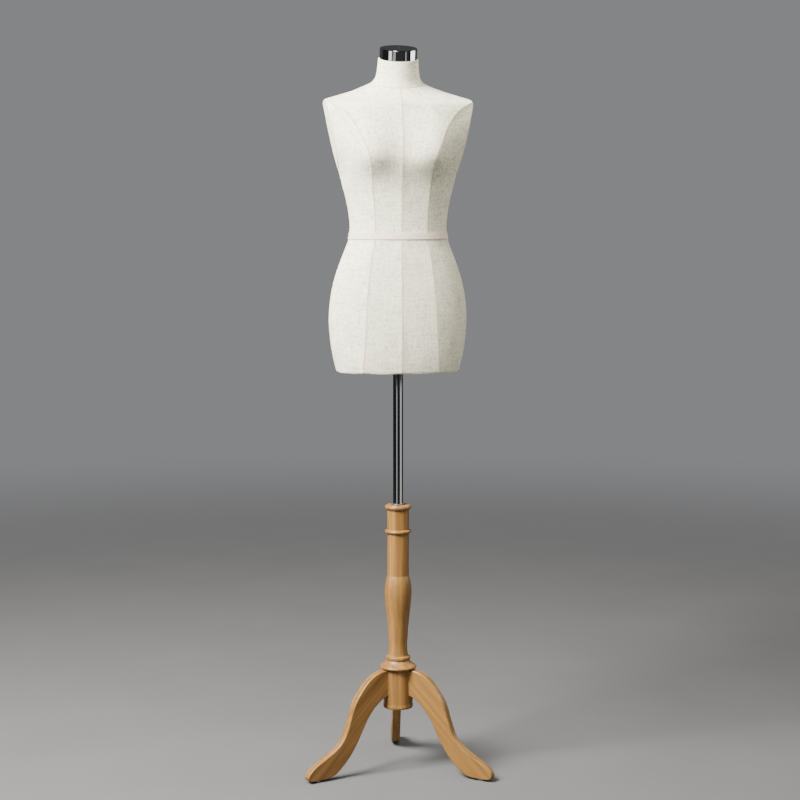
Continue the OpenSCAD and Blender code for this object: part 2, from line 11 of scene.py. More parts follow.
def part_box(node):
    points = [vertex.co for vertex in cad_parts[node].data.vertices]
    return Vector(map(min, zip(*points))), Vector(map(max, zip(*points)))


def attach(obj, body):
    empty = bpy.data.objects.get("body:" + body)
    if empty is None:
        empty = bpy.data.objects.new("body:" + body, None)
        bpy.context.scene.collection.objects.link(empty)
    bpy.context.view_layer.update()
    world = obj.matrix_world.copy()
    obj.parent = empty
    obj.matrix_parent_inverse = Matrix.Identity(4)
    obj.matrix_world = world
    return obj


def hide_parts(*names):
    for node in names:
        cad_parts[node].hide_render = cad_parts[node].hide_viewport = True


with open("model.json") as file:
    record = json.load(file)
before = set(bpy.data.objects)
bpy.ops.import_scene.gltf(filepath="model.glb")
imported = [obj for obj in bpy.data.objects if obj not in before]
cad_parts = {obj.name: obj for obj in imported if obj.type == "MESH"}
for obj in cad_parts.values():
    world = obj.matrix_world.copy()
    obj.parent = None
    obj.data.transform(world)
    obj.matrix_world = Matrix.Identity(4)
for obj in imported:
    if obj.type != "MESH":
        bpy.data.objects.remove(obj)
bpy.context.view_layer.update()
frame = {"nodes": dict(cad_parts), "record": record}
NODES = frame["nodes"]
MM = 0.001
# Gap between two sewn pieces of the frame, in millimetres
SEAM_GAP = 0.1


# ---------- what the frame says ----------

ROD_LOW, ROD_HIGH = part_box("rod")
AXIS = (ROD_LOW + ROD_HIGH) / 2
AXIS.z = 0
HEM_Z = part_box("skirt_front_left")[0].z / MM - SEAM_GAP / 2
WAIST_Z = (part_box("waist_tape")[0].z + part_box("waist_tape")[1].z) / 2 / MM
STAND_TURN = math.radians(-4.5)
LEG_TURNS = {"leg_left": 60, "leg_right": -60, "leg_back": 180}


# ---------- the form's surface, in millimetres about its own axis ----------

# Cross-sections: height, half width, front y, back y, side y, roundness (2 is an ellipse)
SECTIONS = np.array([
    (1016, 153, -92, 100, 4, 2.3),
    (1034, 157, -95, 104, 4, 2.3),
    (1071, 165.5, -99, 112, 4, 2.25),
    (1111, 170.7, -101, 118, 4, 2.2),
    (1148, 173, -101, 120, 4, 2.2),
    (1191, 170.7, -100, 117, 4, 2.2),
    (1231, 164.5, -98, 110, 3, 2.2),
    (1270, 154, -95, 100, 1, 2.15),
    (1310, 139.5, -91, 86, 0, 2.15),
    (1345, 126, -87, 76, -2, 2.1),
    (1375, 120.8, -85, 72, -3, 2.1),
    (1409, 122.8, -86, 74, -3, 2.1),
    (1449, 129.5, -90, 81, -2, 2.15),
    (1488, 139.5, -96, 89, 0, 2.2),
    (1528, 150, -102, 95, 0, 2.3),
    (1567, 168, -104, 98, 0, 2.35),
    (1607, 186, -102, 97, 0, 2.35),
    (1646, 197, -97, 94, 1, 2.3),
    (1675, 199, -91, 90, 2, 2.3),
    (1690, 192, -87, 87, 3, 2.2),
    (1698, 176, -83, 84, 4, 2.1),
    (1706, 149, -78, 81, 5, 2.1),
    (1715, 119.5, -70, 78, 6, 2.05),
    (1725, 92, -62, 75, 8, 2),
    (1737, 66, -52, 71, 10, 2),
    (1745, 58.5, -49, 65, 8, 2),
    (1765, 52.6, -49, 55, 3, 2),
    (1785, 50.5, -51, 47, -2, 2),
    (1797, 50, -53.5, 43.5, -5, 2),
])
NECKLINE_Z = 1737
NECK_TOP_Z = 1796.5
LEAN_FROM_Z = 1672
NECK_LEAN = math.radians(14.2)
# Swellings: half spacing, height, size, spread inwards, outwards, downwards, upwards
BUST = (87, 1558, 34, 50, 38, 33, 60)
SEAT = (70, 1122, 9, 50, 42, 48, 60)
BLADE = (78, 1605, 5, 45, 45, 50, 50)
# The arm cuts: a flat plane on each side that leans out
PLATE_SLANT = math.radians(11.9)
PLATE_TOP_X, PLATE_TOP_Z, PLATE_LOW_Z = 183, 1690, 1450
# Princess seams: height and distance from the centre line
PRINCESS_FRONT = np.array([
    (1016, 96), (1084, 91), (1136, 88), (1188, 86), (1241, 81), (1307, 73), (1357, 64), (1409, 65),
    (1491, 72), (1531, 77), (1560, 84), (1595, 98), (1638, 119), (1666, 142), (1692, 182),
])
PRINCESS_BACK = np.array([
    (1016, 92), (1148, 86), (1250, 76), (1357, 58), (1450, 66), (1560, 84), (1620, 106),
    (1660, 138), (1692, 182),
])
PRINCESS_TOP_Z = 1692
# Thickness of the linen cover
COVER_T = 2.4


def along(table, column, z):
    """Smooth curve through a column of a table whose first column is the position."""
    at, val = table[:, 0], table[:, column]
    step = np.diff(at)
    rise = np.diff(val) / step
    slope = np.empty(len(at))
    slope[0], slope[-1] = rise[0], rise[-1]
    slope[1:-1] = (rise[:-1] * step[1:] + rise[1:] * step[:-1]) / (step[1:] + step[:-1])
    i = np.clip(np.searchsorted(at, z, "right") - 1, 0, len(at) - 2)
    s = np.clip((z - at[i]) / step[i], 0, 1)
    s2, s3 = s * s, s * s * s
    return (val[i] * (2 * s3 - 3 * s2 + 1) + slope[i] * step[i] * (s3 - 2 * s2 + s)
            + val[i + 1] * (3 * s2 - 2 * s3) + slope[i + 1] * step[i] * (s3 - s2))


def smooth(v):
    """A soft step from 0 to 1."""
    s = np.clip(v, 0, 1)
    return s * s * (3 - 2 * s)


def fall(u, under, over):
    """A bell curve whose spread differs below and above 0."""
    return np.exp(-(u / np.where(u < 0, under, over)) ** 2 / 2)


def bell(b, x, z):
    """Depth of a pair of swellings at x and z."""
    return b[2] * fall(z - b[1], b[5], b[6]) * (fall(x - b[0], b[3], b[4]) + fall(-x - b[0], b[3], b[4]))


def skin_at(z, t):
    """Points at row z and angle t in degrees: 90 is centre front, 0 the left side, -90 centre back."""
    z, t = np.broadcast_arrays(np.asarray(z, float), np.asarray(t, float))
    half, side_y = along(SECTIONS, 1, z), along(SECTIONS, 4, z)
    power = 2 / along(SECTIONS, 5, z)
    c, s = np.cos(np.radians(t)), np.sin(np.radians(t))
    x = half * np.sign(c) * np.abs(c) ** power
    w = np.abs(s) ** power
    front = side_y - (side_y - along(SECTIONS, 2, z)) * w - bell(BUST, x, z) * np.abs(s)
    back = (side_y + (along(SECTIONS, 3, z) - side_y) * w
            + (bell(SEAT, x, z) + bell(BLADE, x, z)) * np.abs(s))
    y = np.where(s > 0, front, back)
    lean = NECK_LEAN * smooth((z - LEAN_FROM_Z) / (NECKLINE_Z - LEAN_FROM_Z))
    return np.stack([x, y, z + (y - side_y) * np.tan(lean)], axis=-1)


def outward(z, t):
    """Unit normals of the surface."""
    n = np.cross(skin_at(z, t + 0.5) - skin_at(z, t - 0.5), skin_at(z - 0.5, t) - skin_at(z + 0.5, t))
    return n / np.linalg.norm(n, axis=-1, keepdims=True)


def layer(z, t, depth):
    """Points of the surface moved in by depth along its normal."""
    return skin_at(z, t) - outward(z, t) * np.asarray(depth, float)[..., None]


def plate_x(z):
    """Distance of the arm cut's plane from the centre at height z."""
    return PLATE_TOP_X - (PLATE_TOP_Z - z) * math.tan(PLATE_SLANT)


@functools.lru_cache(None)
def side_line(z, face=1, depth=0.0):
    """Angle at which a row meets the arm cut, in front (face 1) or behind (-1); 0 where it doesn't."""
    def past_cut(t):
        p = layer(z, t, depth)
        return p[0] > plate_x(p[2])

    if z < PLATE_LOW_Z or not past_cut(0.0):
        return 0.0
    lo, hi = 0.0, 60.0
    for _ in range(16):
        mid = (lo + hi) / 2
        if past_cut(face * mid):
            lo = mid
        else:
            hi = mid
    return face * (lo + hi) / 2


def angle_at(z, x):
    """Angle at which row z is x wide; 0 where the row is narrower."""
    q = x / along(SECTIONS, 1, z)
    return 0.0 if q >= 1 else math.degrees(math.acos(q ** (along(SECTIONS, 5, z) / 2)))


def front_seam(z):
    """Angle of the front princess seam, or of the arm cut where that comes first."""
    return max(side_line(z), angle_at(z, along(PRINCESS_FRONT, 1, z)))


def back_seam(z):
    """Angle of the back princess seam, or of the arm cut where that comes first."""
    return min(side_line(z, -1), -angle_at(z, along(PRINCESS_BACK, 1, z)))


# The cover's cutting lines, as angles from the front round the left side to the back
LINES = {
    "centre_front": lambda z: 90.0,
    "front_seam": front_seam,
    "front_side": side_line,
    "back_side": lambda z: side_line(z, -1),
    "back_seam": back_seam,
    "centre_back": lambda z: -90.0,
    "front_edge": lambda z: side_line(z) if z > PRINCESS_TOP_Z else front_seam(z),
    "back_edge": lambda z: side_line(z, -1) if z > PRINCESS_TOP_Z else back_seam(z),
    "all_round": lambda z: 270.0,
}


# ---------- mesh helpers ----------

def new_object(name, verts, faces, body, material):
    """A mesh piece, given in metres in the frame, that rides on a body."""
    mesh = bpy.data.meshes.new(name)
    mesh.from_pydata([tuple(v) for v in verts], [], faces)
    mesh.update()
    mesh.validate()
    mesh.polygons.foreach_set("use_smooth", [True] * len(mesh.polygons))
    piece = bpy.data.objects.new(name, mesh)
    bpy.context.scene.collection.objects.link(piece)
    mesh.materials.append(material)
    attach(piece, body)
    return piece


def to_frame(points):
    """Points in millimetres about the form's axis, as metres in the frame."""
    return np.asarray(points) * MM + np.array(AXIS)


def grid_faces(rows, cols, base=0, flip=False, closed=False):
    """Quads of a grid of points; closed joins the last column to the first."""
    faces = []
    for r in range(rows - 1):
        for c in range(cols if closed else cols - 1):
            d = (c + 1) % cols
            quad = (base + r * cols + c, base + r * cols + d,
                    base + (r + 1) * cols + d, base + (r + 1) * cols + c)
            faces.append(quad[::-1] if flip else quad)
    return faces


def slab_faces(rows, cols, closed=False):
    """Faces of a closed thin solid between an outer grid and, after it, an inner one."""
    half = rows * cols
    faces = grid_faces(rows, cols, 0, flip=True, closed=closed)
    faces += grid_faces(rows, cols, half, closed=closed)
    for c in range(cols if closed else cols - 1):
        d = (c + 1) % cols
        faces.append((c, d, half + d, half + c))
        top = (rows - 1) * cols
        faces.append((top + d, top + c, half + top + c, half + top + d))
    if not closed:
        for r in range(rows - 1):
            a, b = r * cols, (r + 1) * cols
            faces.append((b, a, half + a, half + b))
            a, b = a + cols - 1, b + cols - 1
            faces.append((a, b, half + b, half + a))
    return faces


def set_uv(mesh, uv):
    """A UV map, in metres of cloth, from one pair a vertex."""
    uv_layer = mesh.uv_layers.new(name="cloth")
    index = np.empty(len(mesh.loops), int)
    mesh.loops.foreach_get("vertex_index", index)
    uv_layer.data.foreach_set("uv", np.asarray(uv, float)[index].ravel())


def set_value(mesh, name, values):
    """A named value on each vertex."""
    mesh.attributes.new(name, "FLOAT", "POINT").data.foreach_set("value", np.asarray(values, float))


def wobble(points, size, seed):
    """Smooth noise from -1 to 1 at each point, size millimetres across."""
    at = points.reshape(-1, 3) / size + seed * 17.3
    return np.array([noise.noise(Vector(p)) for p in at]).reshape(points.shape[:-1])


# ---------- materials ----------

class Nodes:
    """A short way to write a material's node tree."""

    def __init__(self, name):
        self.material = bpy.data.materials.new(name)
        self.material.use_nodes = True
        self.tree = self.material.node_tree
        self.shader = self.tree.nodes["Principled BSDF"]

    def add(self, kind, inputs=(), **settings):
        node = self.tree.nodes.new(kind)
        for key, value in settings.items():
            setattr(node, key, value)
        for key, value in dict(inputs).items():
            self.put(node.inputs[key], value)
        return node

    def put(self, socket, value):
        if isinstance(value, bpy.types.NodeSocket):
            self.tree.links.new(value, socket)
        elif isinstance(value, bpy.types.Node):
            self.tree.links.new(value.outputs[0], socket)
        else:
            socket.default_value = value

    def math(self, operation, a, b=0.0):
        return self.add("ShaderNodeMath", {0: a, 1: b}, operation=operation).outputs[0]

    def mix(self, factor, a, b):
        node = self.add("ShaderNodeMix", {0: factor, 6: a, 7: b}, data_type="RGBA")
        return node.outputs[2]

    def ramp(self, value, *stops):
        node = self.add("ShaderNodeValToRGB", {0: value})
        elements = node.color_ramp.elements
        while len(elements) < len(stops):
            elements.new(0.5)
        for element, (at, colour) in zip(elements, stops):
            element.position = at
            element.color = colour if len(colour) == 4 else (*colour, 1)
        return node.outputs[0]

    def noise(self, vector, scale, detail=2.0, roughness=0.5, distortion=0.0):
        return self.add("ShaderNodeTexNoise", {"Vector": vector, "Scale": scale, "Detail": detail,
                                               "Roughness": roughness, "Distortion": distortion}).outputs[0]

    def stretch(self, vector, scale, rotation=(0, 0, 0), location=(0, 0, 0)):
        return self.add("ShaderNodeMapping", {"Vector": vector, "Scale": scale, "Rotation": rotation,
                                              "Location": location}).outputs[0]

    def bump(self, height, strength, distance, normal=None):
        inputs = {"Height": height, "Strength": strength, "Distance": distance}
        if normal is not None:
            inputs["Normal"] = normal
        return self.add("ShaderNodeBump", inputs).outputs[0]

    def finish(self, **inputs):
        for key, value in inputs.items():
            self.put(self.shader.inputs[key.replace("_", " ")], value)
        return self.material


def grey(v):
    """A grey with full cover."""
    return (v, v, v, 1)


def tint(colour, gain):
    """The colour made darker or lighter."""
    return (*(min(1.0, c * gain) for c in colour[:3]), 1)


def linen_material(name, cloth, fleck, seam_tint, thread=1.05 * MM, contrast=1.0):
    """Plain-weave linen: threads over and under with painted shade in the weave's hollows, thick slubs,
    flecks and a little unevenness.
    """
    n = Nodes(name)
    uv = n.add("ShaderNodeUVMap", uv_map="cloth").outputs[0]
    part = n.add("ShaderNodeSeparateXYZ", {0: uv})
    drift = n.math("MULTIPLY", n.noise(uv, 160, 2), 0.9 * MM)
    u = n.math("MULTIPLY", n.math("ADD", part.outputs[0], drift), 2 * math.pi / thread)
    v = n.math("MULTIPLY", n.math("ADD", part.outputs[1], drift), 2 * math.pi / thread)
    over = n.math("MULTIPLY", n.math("SINE", u), n.math("SINE", v))
    warp = n.noise(n.stretch(uv, (620, 60, 1)), 1, 2, 0.6)
    weft = n.noise(n.stretch(uv, (60, 620, 1), location=(3.1, 7.7, 0)), 1, 2, 0.6)
    slub = n.math("MAXIMUM", warp, weft)
    long_warp = n.noise(n.stretch(uv, (330, 16, 1), location=(5.3, 1.7, 0)), 1, 3, 0.7)
    long_weft = n.noise(n.stretch(uv, (16, 330, 1), location=(9.1, 4.4, 0)), 1, 3, 0.7)
    threads = n.math("ADD", n.math("MULTIPLY", long_warp, 0.5), n.math("MULTIPLY", long_weft, 0.5))
    grain = n.math("MINIMUM", n.noise(uv, 240, 3, 0.7), n.noise(uv, 130, 2, 0.6))
    cloudy = n.noise(uv, 30, 4, 0.6)
    dark = tint(cloth, 1 - 0.36 * contrast)
    base = n.mix(n.ramp(threads, (0.42, grey(0)), (0.55, grey(1))), dark, cloth)
    base = n.mix(n.ramp(grain, (0.35, grey(1.0 * contrast)), (0.49, grey(0))), base, tint(cloth, 0.50))
    base = n.mix(n.ramp(cloudy, (0.40, grey(0)), (0.70, grey(0.5))), base, tint(cloth, 1.07))
    base = n.mix(n.ramp(slub, (0.63, grey(0)), (0.72, grey(0.6))), base, fleck)
    # Painted shade: where the weave sinks (over below zero, as in the bump height) the cloth is darkened
    base = n.mix(n.ramp(over, (0.0, grey(0.28)), (0.45, grey(0))), base, tint(cloth, 0.72))
    seam = n.add("ShaderNodeAttribute", attribute_name="seam").outputs["Fac"]
    base = n.mix(seam, base, seam_tint)
    height = n.math("ADD", n.math("MULTIPLY", over, 0.35), n.math("MULTIPLY", slub, 1.6))
    weave = n.bump(height, 0.6, 0.24 * MM)
    soft = n.bump(n.noise(uv, 70, 3), 0.3, 0.7 * MM, weave)
    rough = n.math("ADD", n.math("MULTIPLY", slub, 0.2), 0.74)
    return n.finish(Base_Color=base, Roughness=rough, Sheen_Weight=0.2, Sheen_Roughness=0.5,
                    Specular_IOR_Level=0.22, Normal=soft)


def wood_material(name, light, dark, fleck_colour, turn=0.0, tilt=0.0, centre=(0, 0, 0), coat=0.12,
                  rough=0.42):
    """Beech: fine straight fibres along the timber, faint growth rings and short dark flecks."""
    n = Nodes(name)
    where = n.add("ShaderNodeTexCoord").outputs["Object"]
    moved = n.stretch(where, (1, 1, 1), location=tuple(-c for c in centre))
    turned = n.stretch(moved, (1, 1, 1), rotation=(0, 0, -turn))
    grain = n.stretch(turned, (1, 1, 1), rotation=(0, tilt, 0))
    fibre = n.noise(n.stretch(grain, (620, 620, 9)), 1, 4, 0.6)
    streak = n.noise(n.stretch(grain, (90, 90, 3.2)), 1, 3, 0.55, 0.3)
    part = n.add("ShaderNodeSeparateXYZ", {0: n.stretch(grain, (1, 1, 0.12), location=(0.085, 0.03, 0))})
    bend = n.math("MULTIPLY", n.noise(n.stretch(grain, (14, 14, 2.5)), 1, 3), 0.02)
    radius = n.math("ADD", n.math("SQRT", n.math("ADD", n.math("POWER", part.outputs[0], 2.0),
                                                 n.math("POWER", part.outputs[1], 2.0))), bend)
    rings = n.math("SINE", n.math("MULTIPLY", radius, 2 * math.pi / 0.0042))
    rings = n.math("ADD", n.math("MULTIPLY", rings, 0.5), 0.5)
    tone = n.math("ADD", n.math("MULTIPLY", streak, 0.68),
                  n.math("ADD", n.math("MULTIPLY", rings, 0.05), n.math("MULTIPLY", fibre, 0.27)))
    base = n.ramp(tone, (0.30, dark), (0.52, tuple((a + b) / 2 for a, b in zip(light, dark))), (0.74, light))
    dash = n.noise(n.stretch(grain, (1500, 1500, 240)), 1, 1, 0.4)
    base = n.mix(n.ramp(dash, (0.66, grey(0)), (0.73, grey(0.5))), base, fleck_colour)
    height = n.math("SUBTRACT", n.math("MULTIPLY", fibre, 0.6), n.math("MULTIPLY", dash, 0.3))
    normal = n.bump(height, 0.16, 0.12 * MM)
    rough_map = n.math("ADD", n.math("MULTIPLY", fibre, 0.14), rough - 0.06)
    return n.finish(Base_Color=base, Roughness=rough_map, Coat_Weight=coat, Coat_Roughness=0.3,
                    Specular_IOR_Level=0.4, Normal=normal)


def metal_material(name, colour, rough, scratch=(30, 30, 1400), spread=0.06, strength=0.03):
    """Metal with fine polishing lines and a few smudges in its gloss."""
    n = Nodes(name)
    where = n.add("ShaderNodeTexCoord").outputs["Object"]
    lines = n.noise(n.stretch(where, scratch), 1, 3, 0.6)
    smudge = n.noise(where, 28, 4, 0.6)
    gloss = n.math("ADD", n.math("MULTIPLY", n.math("MULTIPLY", lines, smudge), spread), rough)
    shade = n.mix(n.ramp(smudge, (0.4, grey(0)), (0.75, grey(0.35))), colour, tint(colour, 0.93))
    normal = n.bump(lines, strength, 0.02 * MM)
    return n.finish(Base_Color=shade, Metallic=1.0, Roughness=gloss, Normal=normal)


def plastic_material(name, colour, rough, grain=1400, strength=0.15):
    """Moulded plastic with a fine spark-eroded grain."""
    n = Nodes(name)
    where = n.add("ShaderNodeTexCoord").outputs["Object"]
    fine = n.noise(where, grain, 3, 0.6)
    broad = n.noise(where, 45, 3, 0.55)
    base = n.mix(n.ramp(broad, (0.35, grey(0)), (0.7, grey(0.5))), colour,
                 tuple(min(1, c * 1.25 + 0.004) for c in colour[:3]) + (1,))
    gloss = n.math("ADD", n.math("MULTIPLY", broad, 0.15), rough)
    return n.finish(Base_Color=base, Roughness=gloss, Normal=n.bump(fine, strength, 0.05 * MM))


LINEN = (0.91, 0.885, 0.665, 1)
FLECK = (0.52, 0.46, 0.37, 1)
SEAM_TINT = (0.60, 0.41, 0.32, 1)
linen = linen_material("linen", LINEN, FLECK, SEAM_TINT)
board_linen = linen_material("linen_on_board", tint(LINEN, 0.98), FLECK, SEAM_TINT)
tape_cloth = linen_material("tape", (0.86, 0.725, 0.60, 1), (0.62, 0.48, 0.39, 1), (0.62, 0.45, 0.36, 1),
                            thread=0.7 * MM, contrast=0.5)
BEECH_LIGHT, BEECH_DARK, BEECH_FLECK = (0.36, 0.190, 0.048), (0.125, 0.052, 0.012), (0.07, 0.027, 0.008, 1)
beech_column = wood_material("beech_column", BEECH_LIGHT, BEECH_DARK, BEECH_FLECK, centre=AXIS)
GRAIN_TILT = math.radians(47)
beech_legs = {
    name: wood_material("beech_" + name, BEECH_LIGHT, BEECH_DARK, BEECH_FLECK, centre=AXIS,
                        turn=STAND_TURN + math.radians(turn - 90), tilt=GRAIN_TILT)
    for name, turn in LEG_TURNS.items()
}
plain_wood = wood_material("plywood", (0.56, 0.42, 0.26), (0.44, 0.30, 0.17), (0.3, 0.2, 0.1, 1), tilt=1.57,
                           coat=0.0, rough=0.6)
chrome = metal_material("chrome", (0.86, 0.87, 0.88, 1), 0.045)
zinc = metal_material("zinc", (0.58, 0.59, 0.60, 1), 0.26, scratch=(300, 300, 300), spread=0.2)
dark_nylon = plastic_material("nylon_dark", (0.035, 0.035, 0.037, 1), 0.45)
white_nylon = plastic_material("nylon_white", (0.72, 0.72, 0.69, 1), 0.45)
black_knob = plastic_material("knob_black", (0.012, 0.012, 0.013, 1), 0.34)
resin = plastic_material("shell_resin", (0.56, 0.53, 0.44, 1), 0.5, grain=500, strength=0.3)
thread_cotton = plastic_material("thread", (0.70, 0.64, 0.58, 1), 0.8, grain=6000, strength=0.4)

CAD_MATERIALS = {
    "beech": beech_column, "plywood": plain_wood, "chrome": chrome, "zinc": zinc,
    "nylon_dark": dark_nylon, "nylon_white": white_nylon, "knob_black": black_knob,
    "shell_resin": resin, "linen": linen, "tape": tape_cloth, "linen_board": board_linen,
}
for part in frame["record"]["subparts"]:
    node = NODES[part["node"]]
    for place in node.material_slots:
        place.material = CAD_MATERIALS[part["material_slot"]]


# ---------- linen cover ----------

# How the cloth turns in at a sewn edge, and the grid steps from that edge, in millimetres
ROLL_R = 1.25
FINE_STEPS = (0, 0.25, 0.6, 1.1, 1.8, 2.8, 4.4, 7)
# Depths and distances in millimetres: the lift beside a seam and how far it reaches, the flattening
# between seams, the puckers along a seam, the slack of the cloth, the depth of the dart, and the
# hem's stitched row above the edge
SEAM_RIDGE, RIDGE_REACH = 0.9, 9
PANEL_FLAT = 1.6
PUCKER, PUCKER_PITCH, PUCKER_REACH = 0.17, 11.5, 5.5
SLACK, SLACK_SIZE = 0.3, 55
DART_DEPTH = 0.7
HEM_ROW_UP, HEM_ROW_W, HEM_ROW_DEPTH = 12.5, 1.2, 0.35
HEM_TURN = 4.0
PANEL_STEP = 6.5
# Heights near the lower and upper end of the arm cut, where a panel's rows are closer together
ARM_CUT_LOW, ARM_CUT_HIGH = 1530, 1690
# Depth of a cloth solid: the most its outer face goes in, the least its inner face does, and the
# least that is left between the two
OUTER_MOST = COVER_T - 0.25
INNER_LEAST = COVER_T - 0.1
THINNEST = 0.15


def roll(distance, radius=ROLL_R):
    """How far the cloth turns in at a distance from a sewn edge."""
    u = np.clip(1 - distance / radius, 0, 1)
    return radius * (1 - np.sqrt(1 - 0.96 * u * u))


def spread(length, count):
    """Positions from 0 to length: fine near both ends, and count even steps between them."""
    scale = min(1.0, length / (2.4 * FINE_STEPS[-1]))
    ends = np.array(FINE_STEPS) * scale
    middle = np.linspace(ends[-1], length - ends[-1], count + 1)
    return np.concatenate([ends[:-1], middle, length - ends[:-1][::-1]])


def row_points(z, start, end, columns):
    """Angles and distances along row z between two angles, spaced as spread() says."""
    t = np.linspace(start, end, 90)
    p = skin_at(z, t)
    run = np.concatenate([[0], np.cumsum(np.linalg.norm(np.diff(p, axis=0), axis=1))])
    at = spread(run[-1], columns)
    return np.interp(at, run, t), at, run[-1]


def rows_for(lo, hi, step, extra=()):
    """Row heights with fine rows near both ends and near each extra height."""
    fine = np.array(FINE_STEPS)
    count = max(2, round((hi - lo - 2 * fine[-1]) / step))
    rows = np.concatenate([lo + fine[:-1], np.linspace(lo + fine[-1], hi - fine[-1], count), hi - fine[:-1]])
    for centre, reach, gap in extra:
        rows = np.concatenate([rows, np.arange(centre - reach, centre + reach, gap)])
    rows = np.unique(np.round(rows, 2))
    keep = [rows[0]]
    for z in rows[1:]:
        if z - keep[-1] > 0.2:
            keep.append(z)
    keep[-1] = rows[-1]
    return np.array(keep)


# The side bust dart: length, height at the side seam, rise towards the bust, width of the seam
DART_LENGTH, DART_Z, DART_RISE, DART_W = 62, 1511, 16, 1.3


def bust_dart(points, across):
    """Depth of the side bust dart: a short seam from the side seam up towards the bust."""
    along_dart = np.clip(across / DART_LENGTH, 0, 1)
    line = DART_Z + DART_RISE * along_dart
    return np.exp(-((points[..., 2] - line) / DART_W) ** 2) * np.clip((1 - along_dart) * 5, 0, 1)


def cloth_grid(rows, start, end, columns):
    """Row heights, angles, distances across and total widths of a grid between two of LINES."""
    angles, across, lengths = [], [], []
    for z in rows:
        t, at, total = row_points(z, LINES[start](z), LINES[end](z), columns)
        angles.append(t)
        across.append(at)
        lengths.append(total)
    t = np.array(angles)
    return np.repeat(rows[:, None], t.shape[1], axis=1), t, np.array(across), np.array(lengths)[:, None]


def cloth_piece(node, side, z, t, at, total, depth, inner, seam, seed,
                material=linen):
    """A thin closed solid between two depths, in a node's place, with its cloth coordinates and sheet."""
    p, n = skin_at(z, t), outward(z, t)
    both = np.concatenate([(p - n * d[..., None]).reshape(-1, 3) for d in (depth, inner)])
    both[:, 0] *= side
    faces = slab_faces(*t.shape)
    if side < 0:
        faces = [f[::-1] for f in faces]
    piece = new_object(node + "_cloth", to_frame(both), faces, "form", material)
    cloth = np.stack([(at - total / 2) * MM + seed * 0.137, z * MM + seed * 0.071], axis=-1).reshape(-1, 2)
    set_uv(piece.data, np.concatenate([cloth, cloth]))
    set_value(piece.data, "seam", np.concatenate([np.clip(seam, 0, 1).ravel()] * 2))
    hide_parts(node)


def panel(name, side, lo, hi, start, end, columns, seed, turn_low=0, turn_high=0, dart=False):
    """One sewn panel of the cover: turned-in edges, faint puckers, flatter between its seams."""
    extra = [(DART_Z + DART_RISE / 2, 14, 1.1)] if dart else []
    if hi > WAIST_Z:
        extra += [(ARM_CUT_LOW, 8, 1.6), (ARM_CUT_HIGH, 12, 2.0)]
    rows = rows_for(lo, hi, PANEL_STEP, extra)
    z, t, at, total = cloth_grid(rows, start, end, columns)
    edge = np.minimum(at, total - at)
    p = skin_at(z, t)
    depth = roll(edge)
    for turn, gap in ((turn_low, z - lo), (turn_high, hi - z)):
        if turn:
            depth = np.maximum(depth, roll(gap, turn))
    middle = 4 * at * (total - at) / np.maximum(total, 0.01) ** 2
    fade = smooth((total - 12) / 40) * smooth((hi - z) / 30)
    wave = np.sin(2 * np.pi * z / PUCKER_PITCH + seed + 2.2 * wobble(p, 30, seed))
    pucker = wave * np.exp(-edge / PUCKER_REACH)
    slack = wobble(p, SLACK_SIZE, seed + 3) * np.clip(edge / 25, 0, 1)
    depth = depth + PUCKER * pucker * np.clip(edge / 0.8, 0, 1) - SLACK * slack
    depth = depth + (PANEL_FLAT * middle - SEAM_RIDGE * np.exp(-edge / RIDGE_REACH)) * fade
    seam = 0.68 * np.exp(-(edge / 1.0) ** 2) + 0.32 * np.exp(-(np.maximum(edge - 1, 0) / 2.2) ** 2)
    if dart:
        near = bust_dart(p, total - at)
        depth = depth + DART_DEPTH * near
        seam = np.maximum(seam, 0.7 * near)
    if turn_low:
        hem_row = np.exp(-((z - lo - HEM_ROW_UP) / HEM_ROW_W) ** 2)
        seam = np.maximum(seam, 0.3 * hem_row)
        depth = depth + HEM_ROW_DEPTH * hem_row
    depth = np.clip(depth, -1.0, OUTER_MOST)
    inner = np.maximum(INNER_LEAST, depth + THINNEST)
    cloth_piece(name, side, z, t, at, total, depth, inner, seam, seed)


PANELS = [
    ("bodice_front", WAIST_Z, NECKLINE_Z, "centre_front", "front_edge", 16, {"turn_high": ROLL_R}),
    ("bodice_side_front", WAIST_Z, PRINCESS_TOP_Z, "front_seam", "front_side", 12, {"dart": True}),
    ("bodice_side_back", WAIST_Z, PRINCESS_TOP_Z, "back_side", "back_seam", 12, {}),
    ("bodice_back", WAIST_Z, NECKLINE_Z, "back_edge", "centre_back", 16, {"turn_high": ROLL_R}),
    ("skirt_front", HEM_Z, WAIST_Z, "centre_front", "front_seam", 12, {"turn_low": HEM_TURN}),
    ("skirt_side_front", HEM_Z, WAIST_Z, "front_seam", "front_side", 14, {"turn_low": HEM_TURN}),
    ("skirt_side_back", HEM_Z, WAIST_Z, "back_side", "back_seam", 14, {"turn_low": HEM_TURN}),
    ("skirt_back", HEM_Z, WAIST_Z, "back_seam", "centre_back", 12, {"turn_low": HEM_TURN}),
]
for number, (base_name, low, high, first, last, count, extras) in enumerate(PANELS):
    for side_name, side in (("left", 1), ("right", -1)):
        panel(f"{base_name}_{side_name}", side, low, high, first, last, count,
              seed=2 * number + (side < 0), **extras)


# The collar's puckers above its seam: depth, pitch and how far up they reach; and its slack
NECK_PUCKER, NECK_PITCH, NECK_REACH = 0.15, 9.5, 4.5
NECK_SLACK = 0.25


